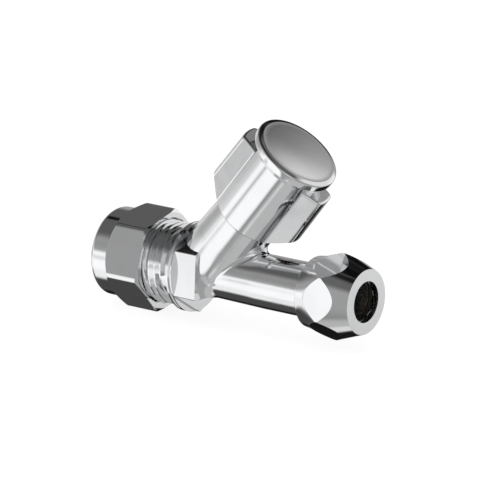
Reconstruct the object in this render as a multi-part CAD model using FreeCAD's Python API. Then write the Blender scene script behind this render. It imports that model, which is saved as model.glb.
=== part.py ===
"""Inclined-seat isolating valve: 15 mm compression inlet, 10 mm compression outlet.

Millimetres, +Z up. The pipe axis is X. The origin is the centre of the inlet's pipe stop,
the face that the supply pipe's end butts against, and the outlet lies toward +X.
The stem axis lies in the XZ plane and leans toward the outlet.
"""

import FreeCAD, Part
import math
import os

from FreeCAD import Placement, Rotation
from FreeCAD import Vector as V

# Layout
STEM_X = 7.5                 # where the stem axis crosses the pipe axis
STEM_LEAN = 38.0             # degrees from upright toward the outlet
HANDLE_TURN = 14.0           # degrees that the handle stands turned from square
RUN_GAP = 0.05               # radial clearance of running fits
SEAT_GAP = 0.03              # clearance of faces that bear on each other
PLAY = 0.15                  # end play of loose compression rings
EDGE = 0.3                   # small broken edge of turned pieces
BURR = 0.05                  # smaller break left at thin edges
HEX_STEP = 30.0              # half of the angle between two corners of a hexagon

# Inlet socket and male thread, G 1/2
PIPE_IN_R = 7.5
PIPE_GAP = 0.1               # radial clearance of a pipe in its socket
IN_SOCKET_LEN = 7.0
IN_MOUTH_R = 9.0
CONE_ANGLE = 25.0            # half angle of the olive seats
IN_THREAD_R = 10.4775
IN_PITCH = 1.814
IN_THREAD_DEPTH = 1.162
THREAD_FOOT = 0.46           # half width of the thread's ridge at its foot, in pitches
THREAD_CREST = 0.1           # half width of the ridge at its crest, in pitches
IN_THREAD_END = 1.3          # x where the male thread stops
RELIEF_LEN = 0.9             # plain relief behind the thread
INLET_BORE_R = 5.0

# Body block
COLLAR_R = 11.5
COLLAR_EDGE = 10.4
COLLAR_CHAMFER = 0.9
COLLAR_GROOVE = 0.35
HEX_X = 4.7                  # where the spanner flats begin
HEX_FLANGE = 1.0
HEX_AF = 20.0
BLOCK_END_X = 11.2
BLOCK_DROP = 0.4             # how far the fillet behind the block starts below its flats
BLOCK_FLOOR = 5.9            # how far the block reaches below the pipe axis
BLOCK_FILLET = 3.0

# Outlet branch
TUBE_R = 6.84
NECK_R = 6.6
NECK_ROOT_R = 8.4
NECK_WAIST_LEN = 6.4         # from the flange to the waist of the neck
NECK_LEN = 21.3              # from the flange to where the tube reaches its full size
FLARE_SHARE = 0.42           # share of the waist length at which the flare is nearly over
FLARE_RISE = 0.62            # how far the flare still stands above the neck there
OUTLET_END_X = 48.5
OUT_BORE_R = 4.0
PIPE_OUT_R = 5.0
OUT_SOCKET_LEN = 7.0
OUT_MOUTH_R = 6.3
OUT_THREAD_R = 8.331         # G 3/8
OUT_THREAD_LEN = 6.3
THREAD_CHAMFER = 0.8
MOUTH_CHAMFER = 0.5          # at the mouth of a nut's thread

# Stem boss, heights along the stem axis from the crossing
BOSS_BALL_H = 4.0            # centre of the boss's round foot
BOSS_KNEE_H = 8.0
BOSS_FOOT_R = 9.0
BOSS_TOP_R = 8.4
BOSS_BLEND = 1.4             # fillet between the boss and the tube
SPIGOT_R = 7.5
SPIGOT_LEN = 3.0
CHAMBER_R = 5.6
CHAMBER_FLOOR_H = 0.4
SEAT_H = 1.0
PORT_R = 3.4
SEAT_LIP = 0.8
PORT_DEPTH = 7.0
LINK_R = 2.6                 # lower passage from the inlet bore to the port
BONNET_R = 6.15

# Headwork
GASKET_T = 0.6
GASKET_R = 7.1
FLANGE_AF = 13.0
FLANGE_T = 4.0
BONNET_NECK_R = 4.9
BONNET_NECK_LEN = 1.8
BONNET_FOOT_GAP = 0.1        # how far the bonnet reaches below the resting piston
PISTON_BORE_R = 5.0
GUIDE_AF = 8.0
LIFT_ROOM = 0.1              # space over the piston when the plunger is up
COLLAR_ROOM = 0.2            # space between the raised plunger and the spindle's collar
SPINDLE_R = 3.0
SPINDLE_COLLAR_R = 4.0
SPINDLE_COLLAR_T = 1.6
THRUST_T = 0.5
STEM_THREAD_R = 2.5
RING_R = 0.41                # section radius of the stem rings
RING_SLOT = 1.3
RING_LAND = 1.79             # from the bonnet's shoulder to the middle of the lower ring
RING_STEP = 2.6              # between the two rings
BONNET_LIP = 2.8             # from the middle of the upper ring to the bonnet's top
CLIP_ROOM = 0.1              # space between the bonnet's top and the clip
CLIP_T = 0.5
CLIP_BORE_R = 2.6
CLIP_R = 4.3
CLIP_GAP_ANGLE = 70.0
SPLINE_REST = 1.6            # plain length between the clip and the teeth
SPLINE_LEN = 5.2
SPLINE_TEETH = 16
SPLINE_DEPTH = 0.35
SPLINE_MOUTH = 0.6           # share of a tooth's pitch that the groove opens at twice its depth
SPLINE_ROOM = 0.1            # space over the teeth in the handle
TAP_R = 1.5
TAP_ROOM = 1.4               # depth of the tapped hole beyond the screw's end

# Plunger, at rest on its seat
LIFT = 2.5                   # full travel of the plunger, 1 mm for each turn
GUIDE_LEN = 4.4              # length of the plunger's hexagon
PISTON_T = 1.8
PISTON_RING_R = 0.45
PISTON_SLOT = 1.0
PLUNGER_NECK_R = 3.6
PLUNGER_NECK_LEN = 5.6
DISC_R = 5.2
DISC_TOP_H = 5.0
DISC_T = 1.8
SKIRT_T = 0.45
SKIRT_LEN = 1.2
NUT_FLOOR_T = 1.07           # wall between the washer screw's hole and the stem thread's
WASHER_SCREW_R = 1.45
WASHER_SCREW_HEAD_R = 2.0
WASHER_SCREW_HEAD_T = 1.1
WASHER_SCREW_LEN = 5.0
SLOT_W = 0.5

# Handle
HANDLE_GAP = 0.4             # between the boss and the handle's foot
BARREL_R = 9.2
HANDLE_BORE_R = 7.95
HANDLE_ROOF_GAP = 0.2        # from the foot of the spindle's teeth to the handle's roof
WING_DROP = 3.0              # from the top of the handle down to its wings
WING_FOOT_R = 13.5
WING_HEAD_R = 13.25
WING_FLARE_H = 4.6           # height of the turned foot under the wings
WING_ROOT_HALF = 5.07
WING_ROOT_S = 7.8
WING_TIP_HALF = 3.47
WING_TIP_S = 12.94
WING_WALL = 1.5
WING_ROUND = 1.4
WING_TOP_ROUND = 0.6
WING_ROOF = 2.5              # thickness of a wing over its hollow
CREASE_R = 1.5               # fillet between the barrel and a wing's side
HEAD_R = 11.1                # rim under the cap
HEAD_T = 0.3
HEAD_FLARE = 1.9             # height over which the barrel widens to the rim
SCREW_SEAT_T = 1.2           # handle's wall under the screw's head
SCREW_HOLE_GAP = 0.15
POCKET_R = 3.5
POCKET_ROOM = 0.4            # space between the screw's head and the cap's spigot
SCREW_R = 1.45
SCREW_HEAD_R = 2.8
SCREW_HEAD_T = 2.0
SCREW_LEN = 6.4
CAP_R = 11.3
CAP_FACE_R = 10.93
CAP_T = 2.15
CAP_ROLL = 0.9
CAP_SPIGOT = 1.4

# Inlet nut and ring
NUT_IN_AF = 23.5
NUT_IN_TURN = 14.75
NUT_IN_OVERLAP = 5.0         # how far the nut covers the inlet's thread
NUT_IN_LEN = 16.5
NUT_IN_EDGE_ROUND = 1.8      # on the six long edges
NUT_IN_FACE_R = 12.3
NUT_IN_HEX_LEN = 9.2         # from the mouth to where the corners are turned away
NUT_IN_TAIL = 5.2            # length of the turned band behind the hexagon
NUT_IN_TAIL_R = 11.4
NUT_IN_TAIL_ROUND = 1.5
NUT_IN_THREAD_DEEP = 8.5
NUT_CONE_ANGLE = 40.0
OLIVE_IN_LEN = 7.0
OLIVE_IN_WALL = 1.3
OLIVE_IN_EDGE = 0.45
OLIVE_IN_TAPER = 2.2
IN_TRAVEL = 1.36             # how far the nut still screws on

# Outlet nut and rings
NUT_OUT_AF = 19.0
NUT_OUT_TURN = 25.0
NUT_OUT_REACH = 7.66         # how far the nut stands out beyond the outlet's end
NUT_OUT_LEN = 15.46
NUT_OUT_FACE_R = 8.19
NUT_OUT_CROWN_R = 10.92
NUT_OUT_CROWN = 7.6          # from the front face back to the crown
NUT_OUT_CREST = 0.7
NUT_OUT_REAR_R = 9.0
NUT_OUT_WAIST_R = 9.35
NUT_OUT_WAIST = 2.7          # from the rear face to where the rear cone begins
NUT_OUT_THREAD_DEEP = 9.8
OLIVE_OUT_LEN = 5.5
OLIVE_OUT_WALL = 1.05
OLIVE_OUT_EDGE = 0.35
OLIVE_OUT_TAPER = 1.7
THRUST_RING_R = 7.2
THRUST_RING_T = 1.6
RING_CONE = 0.9
OUT_TRAVEL = 0.67

# Sizes that follow from those above
SOCKET_IN_R = PIPE_IN_R + PIPE_GAP
SOCKET_OUT_R = PIPE_OUT_R + PIPE_GAP
CONE_TAN = math.tan(math.radians(CONE_ANGLE))
IN_CONE_LEN = (IN_MOUTH_R - SOCKET_IN_R) / CONE_TAN
INLET_END_X = -IN_SOCKET_LEN - IN_CONE_LEN
OUT_CONE_LEN = (OUT_MOUTH_R - SOCKET_OUT_R) / CONE_TAN
OUT_STOP_X = OUTLET_END_X - OUT_CONE_LEN - OUT_SOCKET_LEN

# Heights on the stem axis, stacked from the seat upward
WASHER_FOOT_H = SEAT_H + SEAT_GAP
SCREW_HOLE_TOP_H = WASHER_FOOT_H + WASHER_SCREW_LEN + EDGE
NUT_HOLE_FOOT_H = SCREW_HOLE_TOP_H + NUT_FLOOR_T
STEM_THREAD_FOOT_H = NUT_HOLE_FOOT_H + LIFT + EDGE
PISTON_FOOT_H = DISC_TOP_H + PLUNGER_NECK_LEN
PISTON_TOP_H = PISTON_FOOT_H + PISTON_T
PLUNGER_TOP_H = PISTON_TOP_H + GUIDE_LEN
BONNET_FOOT_H = PISTON_FOOT_H - BONNET_FOOT_GAP
PISTON_BORE_TOP_H = PISTON_TOP_H + LIFT + LIFT_ROOM
COLLAR_BORE_H = PLUNGER_TOP_H + LIFT + COLLAR_ROOM
COLLAR_TOP_H = COLLAR_BORE_H + EDGE / 2 + SPINDLE_COLLAR_T
SHOULDER_H = COLLAR_TOP_H + THRUST_T + 2 * SEAT_GAP
RING_LOW_H = SHOULDER_H + RING_LAND
RING_HIGH_H = RING_LOW_H + RING_STEP
BONNET_TOP_H = RING_HIGH_H + BONNET_LIP
FLANGE_TOP_H = BONNET_TOP_H - BONNET_NECK_LEN
GASKET_TOP_H = FLANGE_TOP_H - FLANGE_T
SPIGOT_TOP_H = GASKET_TOP_H - GASKET_T
BOSS_TOP_H = SPIGOT_TOP_H - SPIGOT_LEN
CLIP_FOOT_H = BONNET_TOP_H + CLIP_ROOM
SPLINE_FOOT_H = CLIP_FOOT_H + CLIP_T + SPLINE_REST
SPLINE_TOP_H = SPLINE_FOOT_H + SPLINE_LEN
HANDLE_FOOT_H = BOSS_TOP_H + HANDLE_GAP
HANDLE_ROOF_H = SPLINE_FOOT_H + HANDLE_ROOF_GAP
SCREW_FLOOR_H = SPLINE_TOP_H + SCREW_SEAT_T
TAP_FOOT_H = SCREW_FLOOR_H - SCREW_LEN - TAP_ROOM
HANDLE_TOP_H = SCREW_FLOOR_H + SCREW_HEAD_T + POCKET_ROOM + CAP_SPIGOT
WING_TOP_H = HANDLE_TOP_H - WING_DROP
WING_POCKET_TOP_H = WING_TOP_H - WING_ROOF
LINE = V(1, 0, 0)
UP = V(0, 0, 1)


def along_pipe(points):
    """Turns a closed outline of (x, radius) points about the pipe axis."""
    wire = Part.makePolygon([V(x, 0, r) for x, r in points + points[:1]])
    return Part.Face(wire).revolve(V(0, 0, 0), LINE, 360)


def upright(points):
    """Turns a closed outline of (radius, height) points about Z."""
    wire = Part.makePolygon([V(r, 0, h) for r, h in points + points[:1]])
    return Part.Face(wire).revolve(V(0, 0, 0), UP, 360)


def on_stem(shape):
    """Moves a piece built upright on Z to its place on the leaning stem axis."""
    placed = shape.copy()
    lean = Placement(V(STEM_X, 0, 0), Rotation(V(0, 1, 0), STEM_LEAN))
    placed.Placement = lean.multiply(placed.Placement)
    return placed


def rod(radius, start, end):
    """Upright cylinder between two heights."""
    return Part.makeCylinder(radius, end - start, V(0, 0, start), UP)


def bore(radius, start, end):
    """Cylinder on the pipe axis between two x values."""
    return Part.makeCylinder(radius, end - start, V(start, 0, 0), LINE)


def hex_wire(flats, turn, place):
    """Closed hexagon across the given flats, each corner put in place by a function."""
    reach = flats / math.sqrt(3)
    angles = [math.radians(turn + 60 * k) for k in range(7)]
    return Part.makePolygon([place(reach * math.cos(a), reach * math.sin(a)) for a in angles])


def hex_bar(flats, turn, start, end):
    """Hexagonal bar along the pipe axis."""
    wire = hex_wire(flats, turn, lambda y, z: V(start, y, z))
    return Part.Face(wire).extrude(V(end - start, 0, 0))


def hex_post(flats, start, end):
    """Hexagonal post along Z."""
    wire = hex_wire(flats, 0.0, lambda x, y: V(x, y, start))
    return Part.Face(wire).extrude(V(0, 0, end - start))


def threaded_inlet():
    """Root cylinder of the inlet end with one helical ridge, cut off square at the end."""
    root = IN_THREAD_R - IN_THREAD_DEPTH
    foot = IN_PITCH * THREAD_FOOT
    crest = IN_PITCH * THREAD_CREST
    start = IN_THREAD_END - foot
    length = start - INLET_END_X + IN_PITCH
    helix = Part.makeHelix(IN_PITCH, length, root)
    outline = [
        V(root - 0.2, 0, -foot),
        V(IN_THREAD_R, 0, -crest),
        V(IN_THREAD_R, 0, crest),
        V(root - 0.2, 0, foot),
    ]
    profile = Part.makePolygon(outline + outline[:1])
    ridge = Part.Wire(helix).makePipeShell([profile], True, True)
    ridge.Placement = Placement(V(start - length, 0, 0), Rotation(V(0, 1, 0), 90))
    core = bore(root, INLET_END_X, IN_THREAD_END + RELIEF_LEN)
    bevel = along_pipe([
        (INLET_END_X - 2 * IN_PITCH, 0.0),
        (INLET_END_X - 2 * IN_PITCH, 2 * IN_THREAD_R),
        (INLET_END_X + 2 * IN_THREAD_R - root, 2 * IN_THREAD_R),
        (INLET_END_X, root),
        (INLET_END_X, 0.0),
    ])
    return core.fuse(ridge).cut(bevel)


def neck():
    """Slightly tapered neck that runs into the straight tube up to the outlet's thread."""
    root = HEX_X + HEX_FLANGE
    taper = (TUBE_R - NECK_R) / (NECK_LEN - NECK_WAIST_LEN)
    return along_pipe([
        (root, 0.0),
        (root, NECK_R - taper * NECK_WAIST_LEN),
        (root + NECK_LEN, TUBE_R),
        (OUTLET_END_X - OUT_THREAD_LEN, TUBE_R),
        (OUTLET_END_X - OUT_THREAD_LEN, 0.0),
    ])


def neck_flare():
    """Curved flare with which the neck grows out of the spanner flange."""
    root = HEX_X + HEX_FLANGE
    end = root + NECK_WAIST_LEN + EDGE
    knots = [
        V(root, 0, NECK_ROOT_R),
        V(root + FLARE_SHARE * NECK_WAIST_LEN, 0, NECK_R + FLARE_RISE),
        V(end, 0, NECK_R - BURR),
    ]
    curve = Part.BSplineCurve()
    curve.interpolate(knots)
    lines = [
        Part.makeLine(knots[2], V(end, 0, 0)),
        Part.makeLine(V(end, 0, 0), V(root, 0, 0)),
        Part.makeLine(V(root, 0, 0), knots[0]),
    ]
    face = Part.Face(Part.Wire([curve.toShape()] + lines))
    return face.revolve(V(0, 0, 0), LINE, 360)


def boss():
    """Leaning stem boss with a ball-shaped foot, and the spigot on its top."""
    slant = BOSS_FOOT_R * math.sqrt(0.5)
    path = [
        V(0, 0, BOSS_BALL_H - BOSS_FOOT_R),
        V(BOSS_FOOT_R, 0, BOSS_BALL_H),
        V(BOSS_FOOT_R, 0, BOSS_KNEE_H),
        V(BOSS_TOP_R, 0, BOSS_TOP_H),
        V(SPIGOT_R, 0, BOSS_TOP_H),
        V(SPIGOT_R, 0, SPIGOT_TOP_H),
        V(0, 0, SPIGOT_TOP_H),
    ]
    foot = Part.Arc(path[0], V(slant, 0, BOSS_BALL_H - slant), path[1]).toShape()
    sides = [Part.makeLine(a, b) for a, b in zip(path[1:], path[2:] + path[:1])]
    outline = Part.Wire([foot] + sides)
    return on_stem(Part.Face(outline).revolve(V(0, 0, 0), UP, 360))


def block():
    """Spanner block: turned hexagon, cut away underneath behind a thin flange."""
    corner = V(BLOCK_END_X, 0, HEX_AF / 2 - BLOCK_DROP)
    centre = corner + V(BLOCK_FILLET, 0, 0)
    slant = BLOCK_FILLET * math.sqrt(0.5)
    foot = centre - V(0, 0, BLOCK_FILLET)
    arc = Part.Arc(corner, centre - V(slant, 0, slant), foot).toShape()
    lines = [
        Part.makeLine(V(HEX_X, 0, 0), V(HEX_X, 0, COLLAR_R)),
        Part.makeLine(V(HEX_X, 0, COLLAR_R), V(BLOCK_END_X, 0, COLLAR_R)),
        Part.makeLine(V(BLOCK_END_X, 0, COLLAR_R), corner),
        arc,
        Part.makeLine(foot, V(foot.x, 0, 0)),
        Part.makeLine(V(foot.x, 0, 0), V(HEX_X, 0, 0)),
    ]
    turned = Part.Face(Part.Wire(lines)).revolve(V(0, 0, 0), LINE, 360)
    shape = turned.common(hex_bar(HEX_AF, HEX_STEP, HEX_X, foot.x))
    start = HEX_X + HEX_FLANGE
    under = Part.makeBox(HEX_AF, 3 * HEX_AF, HEX_AF)
    under.translate(V(start, -1.5 * HEX_AF, -BLOCK_FLOOR - HEX_AF))
    return shape.cut(under)


def body_skin():
    """Outside of the casting, without its bores."""
    relief = IN_THREAD_END + RELIEF_LEN
    end = OUTLET_END_X - OUT_THREAD_LEN
    collar = along_pipe([
        (relief, 0.0),
        (relief, COLLAR_EDGE),
        (relief + COLLAR_CHAMFER, COLLAR_R),
        (HEX_X - 3 * COLLAR_GROOVE, COLLAR_R),
        (HEX_X - 2 * COLLAR_GROOVE, COLLAR_R - COLLAR_GROOVE),
        (HEX_X - COLLAR_GROOVE, COLLAR_R),
        (HEX_X, COLLAR_R),
        (HEX_X, 0.0),
    ])
    outlet_thread = along_pipe([
        (end, 0.0),
        (end, OUT_THREAD_R - THREAD_CHAMFER),
        (end + THREAD_CHAMFER, OUT_THREAD_R),
        (OUTLET_END_X - THREAD_CHAMFER, OUT_THREAD_R),
        (OUTLET_END_X, OUT_THREAD_R - THREAD_CHAMFER),
        (OUTLET_END_X, 0.0),
    ])
    casting = neck().fuse(boss())
    drawn = [edge for edge in casting.Edges if not edge.Degenerated]
    seam = [edge for edge in drawn if type(edge.Curve).__name__ == "BSplineCurve"]
    casting = casting.makeFillet(BOSS_BLEND, seam)
    return casting.fuse([neck_flare(), block()]).fuse([collar, outlet_thread])


def body_bores():
    """Everything that is drilled out of the casting: sockets, passages, seat and stem bore."""
    stop = INLET_BORE_R + 1.0
    inlet = along_pipe([
        (INLET_END_X - 1.0, 0.0),
        (INLET_END_X - 1.0, IN_MOUTH_R + CONE_TAN),
        (-IN_SOCKET_LEN, SOCKET_IN_R),
        (0.0, SOCKET_IN_R),
        (0.0, INLET_BORE_R),
        (STEM_X - stop, INLET_BORE_R),
        (STEM_X - stop, 0.0),
    ])
    outlet = along_pipe([
        (STEM_X + CHAMBER_R, 0.0),
        (STEM_X + CHAMBER_R, OUT_BORE_R),
        (OUT_STOP_X, OUT_BORE_R),
        (OUT_STOP_X, SOCKET_OUT_R),
        (OUT_STOP_X + OUT_SOCKET_LEN, SOCKET_OUT_R),
        (OUTLET_END_X + 1.0, OUT_MOUTH_R + CONE_TAN),
        (OUTLET_END_X + 1.0, 0.0),
    ])
    link = Part.makeCylinder(LINK_R, stop, V(STEM_X - stop - 1.0, 0, -LINK_R), LINE)
    port = rod(PORT_R, -PORT_DEPTH, SPIGOT_TOP_H)
    lip = upright([
        (PORT_R, CHAMBER_FLOOR_H - 1.0),
        (PORT_R + 2 * SEAT_LIP, CHAMBER_FLOOR_H - 1.0),
        (PORT_R + 2 * SEAT_LIP, CHAMBER_FLOOR_H),
        (PORT_R + SEAT_LIP, SEAT_H),
        (PORT_R, SEAT_H),
    ])
    chamber = rod(CHAMBER_R, CHAMBER_FLOOR_H, BONNET_FOOT_H).cut(lip)
    stem = rod(BONNET_R + RUN_GAP, BONNET_FOOT_H, SPIGOT_TOP_H + 1.0)
    return [inlet, outlet, link, on_stem(port), on_stem(chamber), on_stem(stem)]


def valve_body():
    """The casting: threaded inlet, spanner block, leaning boss, neck and outlet."""
    solid = body_skin().fuse(threaded_inlet())
    for tool in body_bores():
        solid = solid.cut(tool)
    return solid


def rounded_hex_bar(flats, turn, start, end, radius):
    """Hexagonal bar along the pipe axis with its six long edges rounded."""
    bar = hex_bar(flats, turn, start, end)
    edges = [edge for edge in bar.Edges if edge.BoundBox.XLength > 0.9 * (end - start)]
    return bar.makeFillet(radius, edges)


def inlet_nut():
    """Inlet union nut: hexagon, rounded turned band, and thread, cone and pipe bore inside."""
    mouth = INLET_END_X + NUT_IN_OVERLAP
    end = mouth - NUT_IN_LEN
    corner = NUT_IN_AF / math.sqrt(3)
    chamfer = (corner - NUT_IN_FACE_R) * math.tan(math.radians(HEX_STEP))
    hole = IN_THREAD_R + RUN_GAP
    pocket = IN_MOUTH_R + RUN_GAP
    cone_tan = math.tan(math.radians(NUT_CONE_ANGLE))
    small = SOCKET_IN_R + PIPE_GAP
    cone_x = olive_in_left() - PLAY - (OLIVE_IN_EDGE + SOCKET_IN_R - small) / cone_tan
    cone_top = cone_x + (pocket - small) / cone_tan
    deep = mouth - NUT_IN_THREAD_DEEP
    turned = along_pipe([
        (mouth, hole + MOUTH_CHAMFER),
        (mouth, NUT_IN_FACE_R),
        (mouth - chamfer, corner),
        (mouth - NUT_IN_HEX_LEN, corner),
        (end + NUT_IN_TAIL, NUT_IN_TAIL_R),
        (end, NUT_IN_TAIL_R),
        (end, small + EDGE),
        (end + EDGE, small),
        (cone_x, small),
        (cone_top, pocket),
        (deep - MOUTH_CHAMFER, pocket),
        (deep, hole),
        (mouth - MOUTH_CHAMFER, hole),
    ])
    rims = []
    for edge in turned.Edges:
        box = edge.BoundBox
        if box.XMax < end + BURR and box.ZMax > NUT_IN_TAIL_R - BURR:
            rims.append(edge)
    turned = turned.makeFillet(NUT_IN_TAIL_ROUND, rims)
    return turned.common(rounded_hex_bar(NUT_IN_AF, NUT_IN_TURN, end, mouth, NUT_IN_EDGE_ROUND))


def olive_in_left():
    """The x of the inlet ring's tail end, with the nut backed off by its remaining travel."""
    touch = INLET_END_X + (IN_MOUTH_R - SOCKET_IN_R - OLIVE_IN_EDGE) / CONE_TAN
    return touch - IN_TRAVEL - PLAY - OLIVE_IN_LEN


def olive(left, length, hole, wall, edge, taper):
    """Barrel-shaped compression ring, coned at both ends."""
    right = left + length
    return along_pipe([
        (left, hole),
        (left, hole + edge),
        (left + taper, hole + wall),
        (right - taper, hole + wall),
        (right, hole + edge),
        (right, hole),
    ])


def inlet_olive():
    """Soft brass ring that grips the supply pipe."""
    left = olive_in_left()
    return olive(left, OLIVE_IN_LEN, SOCKET_IN_R, OLIVE_IN_WALL, OLIVE_IN_EDGE, OLIVE_IN_TAPER)


def olive_out_left():
    """The x of the outlet ring's inner end, with the nut backed off by its remaining travel."""
    touch = OUTLET_END_X - (OUT_MOUTH_R - SOCKET_OUT_R - OLIVE_OUT_EDGE) / CONE_TAN
    return touch + OUT_TRAVEL + PLAY


def outlet_olive():
    """Soft brass ring that grips the outlet pipe."""
    left = olive_out_left()
    return olive(left, OLIVE_OUT_LEN, SOCKET_OUT_R, OLIVE_OUT_WALL, OLIVE_OUT_EDGE, OLIVE_OUT_TAPER)


def thrust_ring_left():
    """The x of the thrust ring's coned face, which reaches over the ring's outer end."""
    return olive_out_left() + OLIVE_OUT_LEN + PLAY + OLIVE_OUT_EDGE - RING_CONE


def outlet_thrust_ring():
    """Loose ring between the outlet nut's shoulder and the compression ring."""
    left = thrust_ring_left()
    right = left + THRUST_RING_T
    return along_pipe([
        (left, SOCKET_OUT_R + RING_CONE),
        (left, THRUST_RING_R - EDGE),
        (left + EDGE, THRUST_RING_R),
        (right, THRUST_RING_R),
        (right, SOCKET_OUT_R),
        (left + RING_CONE, SOCKET_OUT_R),
    ])


def outlet_nut():
    """Outlet union nut: two long cones leave rounded flats, with a flat ring at the end."""
    front = OUTLET_END_X + NUT_OUT_REACH
    rear = front - NUT_OUT_LEN
    crown = front - NUT_OUT_CROWN
    crest = crown - NUT_OUT_CREST
    hole = OUT_THREAD_R + RUN_GAP
    ring = THRUST_RING_R + RUN_GAP
    shoulder = thrust_ring_left() + THRUST_RING_T + PLAY
    pipe = SOCKET_OUT_R + PIPE_GAP
    deep = rear + NUT_OUT_THREAD_DEEP
    turned = along_pipe([
        (rear, hole + BURR),
        (rear, NUT_OUT_REAR_R - EDGE),
        (rear + EDGE, NUT_OUT_REAR_R),
        (rear + NUT_OUT_WAIST, NUT_OUT_WAIST_R),
        (crest, NUT_OUT_CROWN_R),
        (crown, NUT_OUT_CROWN_R),
        (front, NUT_OUT_FACE_R),
        (front, pipe),
        (shoulder, pipe),
        (shoulder, ring),
        (deep + OUT_THREAD_R - THRUST_RING_R, ring),
        (deep, hole),
        (rear + BURR, hole),
    ])
    return turned.common(hex_bar(NUT_OUT_AF, NUT_OUT_TURN, rear, front))


def headwork_bonnet():
    """Screwed-in bonnet: bore for the piston, hexagon guide, collar seat and stem bore."""
    shaft = SPINDLE_R + RUN_GAP
    outside = upright([
        (0.0, BONNET_FOOT_H),
        (BONNET_R - EDGE, BONNET_FOOT_H),
        (BONNET_R, BONNET_FOOT_H + EDGE),
        (BONNET_R, GASKET_TOP_H),
        (SPIGOT_R, GASKET_TOP_H),
        (SPIGOT_R, FLANGE_TOP_H - EDGE),
        (SPIGOT_R - 2 * EDGE, FLANGE_TOP_H),
        (BONNET_NECK_R, FLANGE_TOP_H),
        (BONNET_NECK_R, BONNET_TOP_H - EDGE),
        (BONNET_NECK_R - EDGE, BONNET_TOP_H),
        (0.0, BONNET_TOP_H),
    ])
    flats = hex_post(FLANGE_AF, BONNET_FOOT_H, BONNET_TOP_H)
    inside = rod(PISTON_BORE_R, BONNET_FOOT_H, PISTON_BORE_TOP_H)
    guide = hex_post(GUIDE_AF + 2 * RUN_GAP, PISTON_BORE_TOP_H, COLLAR_BORE_H)
    collar = rod(SPINDLE_COLLAR_R + RUN_GAP, COLLAR_BORE_H, SHOULDER_H)
    stem = rod(shaft, SHOULDER_H, BONNET_TOP_H)
    shape = outside.common(flats)
    for tool in [inside, guide, collar, stem]:
        shape = shape.cut(tool)
    return on_stem(shape)


def bonnet_gasket():
    """Flat fibre ring under the bonnet's hexagon."""
    ring = rod(GASKET_R, SPIGOT_TOP_H, GASKET_TOP_H)
    return on_stem(ring.cut(rod(BONNET_R + RUN_GAP, SPIGOT_TOP_H, GASKET_TOP_H)))


def splined(foot, top, radius, depth):
    """Toothed bar: a cylinder with evenly spaced vee grooves."""
    shape = rod(radius, foot, top)
    step = 2 * math.pi / SPLINE_TEETH
    half = SPLINE_MOUTH * step / 2
    deep = radius - depth
    corners = [(deep, 0.0), (radius + depth, -half), (radius + depth, half)]
    points = [V(r * math.cos(a), r * math.sin(a), foot) for r, a in corners]
    groove = Part.Face(Part.makePolygon(points + points[:1])).extrude(V(0, 0, top - foot))
    cuts = []
    for k in range(SPLINE_TEETH):
        one = groove.copy()
        one.rotate(V(0, 0, 0), UP, k * 360.0 / SPLINE_TEETH)
        cuts.append(one)
    return shape.cut(cuts)


def spindle():
    """Turned spindle: threaded foot, thrust collar, two ring grooves, clip groove and teeth."""
    top = COLLAR_TOP_H
    slot = SPINDLE_R - 2 * RING_R
    clip = CLIP_FOOT_H
    points = [
        (0.0, STEM_THREAD_FOOT_H),
        (STEM_THREAD_R - EDGE, STEM_THREAD_FOOT_H),
        (STEM_THREAD_R, STEM_THREAD_FOOT_H + EDGE),
        (STEM_THREAD_R, top - SPINDLE_COLLAR_T),
        (SPINDLE_COLLAR_R, top - SPINDLE_COLLAR_T),
        (SPINDLE_COLLAR_R, top),
        (SPINDLE_R, top),
    ]
    for middle in [RING_LOW_H, RING_HIGH_H]:
        points.append((SPINDLE_R, middle - RING_SLOT / 2))
        points.append((slot, middle - RING_SLOT / 2))
        points.append((slot, middle + RING_SLOT / 2))
        points.append((SPINDLE_R, middle + RING_SLOT / 2))
    points.append((SPINDLE_R, clip - RUN_GAP))
    points.append((CLIP_BORE_R - RUN_GAP, clip - RUN_GAP))
    points.append((CLIP_BORE_R - RUN_GAP, clip + CLIP_T + RUN_GAP))
    points.append((SPINDLE_R, clip + CLIP_T + RUN_GAP))
    points.append((SPINDLE_R, SPLINE_FOOT_H))
    points.append((0.0, SPLINE_FOOT_H))
    shape = upright(points).fuse(splined(SPLINE_FOOT_H, SPLINE_TOP_H, SPINDLE_R, SPLINE_DEPTH))
    shape = shape.cut(rod(TAP_R, TAP_FOOT_H, SPLINE_TOP_H))
    shape.rotate(V(0, 0, 0), UP, HANDLE_TURN - 90.0)
    return on_stem(shape)


def stem_ring(middle):
    """O-ring in one of the spindle's grooves."""
    return on_stem(Part.makeTorus(SPINDLE_R + RUN_GAP - RING_R - 0.01, RING_R, V(0, 0, middle)))


def spindle_thrust_washer():
    """Plastic washer between the spindle's collar and the bonnet's shoulder."""
    foot = COLLAR_TOP_H + SEAT_GAP
    ring = rod(SPINDLE_COLLAR_R, foot, foot + THRUST_T)
    return on_stem(ring.cut(rod(SPINDLE_R + RUN_GAP, foot, foot + THRUST_T)))


def spindle_clip():
    """Open spring clip that holds the spindle in the bonnet."""
    foot = CLIP_FOOT_H
    ring = rod(CLIP_R, foot, foot + CLIP_T).cut(rod(CLIP_BORE_R, foot, foot + CLIP_T))
    half = math.radians(CLIP_GAP_ANGLE / 2)
    far = 2 * CLIP_R
    corners = [V(0, 0, foot), V(far, -far * math.tan(half), foot), V(far, far * math.tan(half), foot)]
    gap = Part.Face(Part.makePolygon(corners + corners[:1])).extrude(V(0, 0, CLIP_T))
    return on_stem(ring.cut(gap))


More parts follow.
